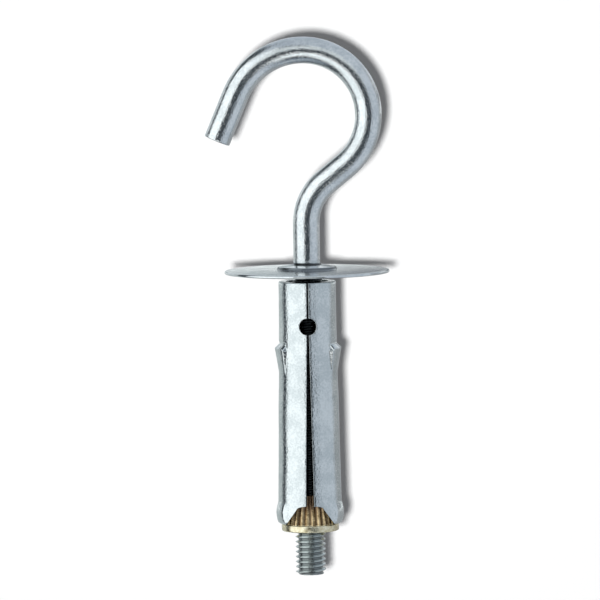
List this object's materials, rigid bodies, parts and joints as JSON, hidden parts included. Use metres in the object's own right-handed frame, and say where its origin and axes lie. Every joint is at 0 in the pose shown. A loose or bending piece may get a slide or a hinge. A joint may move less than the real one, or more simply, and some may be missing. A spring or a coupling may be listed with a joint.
{
  "type": "sleeve anchor hook",
  "caption": "Open hook on a threaded bolt, with a cover washer and a slotted expansion sleeve that a ribbed cone nut spreads in a drilled hole.",
  "frame": {"origin": "on the bolt's axis, in the plane of the wall face that the washer's rim lies on, at the mouth of the drilled hole", "axes": "+Z along the bolt towards the hook, out of the wall; the hook opens towards -X; the sleeve's seam faces -Y"},
  "size_m": [0.0363, 0.0328, 0.1072],
  "materials": {
    "plated_wire": "bright zinc plating on drawn wire",
    "plated_washer": "satin zinc plating on pressed sheet",
    "plated_sheet": "bright zinc plating on rolled sheet, slightly mottled",
    "yellow_metal": "bright turned brass colour"
  },
  "bodies": {
    "anchor": {"expansion_sleeve": "plated_sheet", "cover_washer": "plated_washer"},
    "hook": {"hook_bolt": "plated_wire"},
    "nut": {"cone_nut": "yellow_metal"}
  },
  "joints": [
    {"name": "hook_turn", "type": "hinge", "parent": "anchor", "child": "hook", "pos_m": [0, 0, 0], "axis": [0, 0, 1], "range_deg": [0, 2880]},
    {"name": "nut_travel", "type": "slide", "parent": "anchor", "child": "nut", "axis": [0, 0, -1], "range_m": [0, 0.008]}
  ],
  "couplings": [
    {"joint": "nut_travel", "follows": "hook_turn", "m_per_rad": 0.00015915}
  ]
}
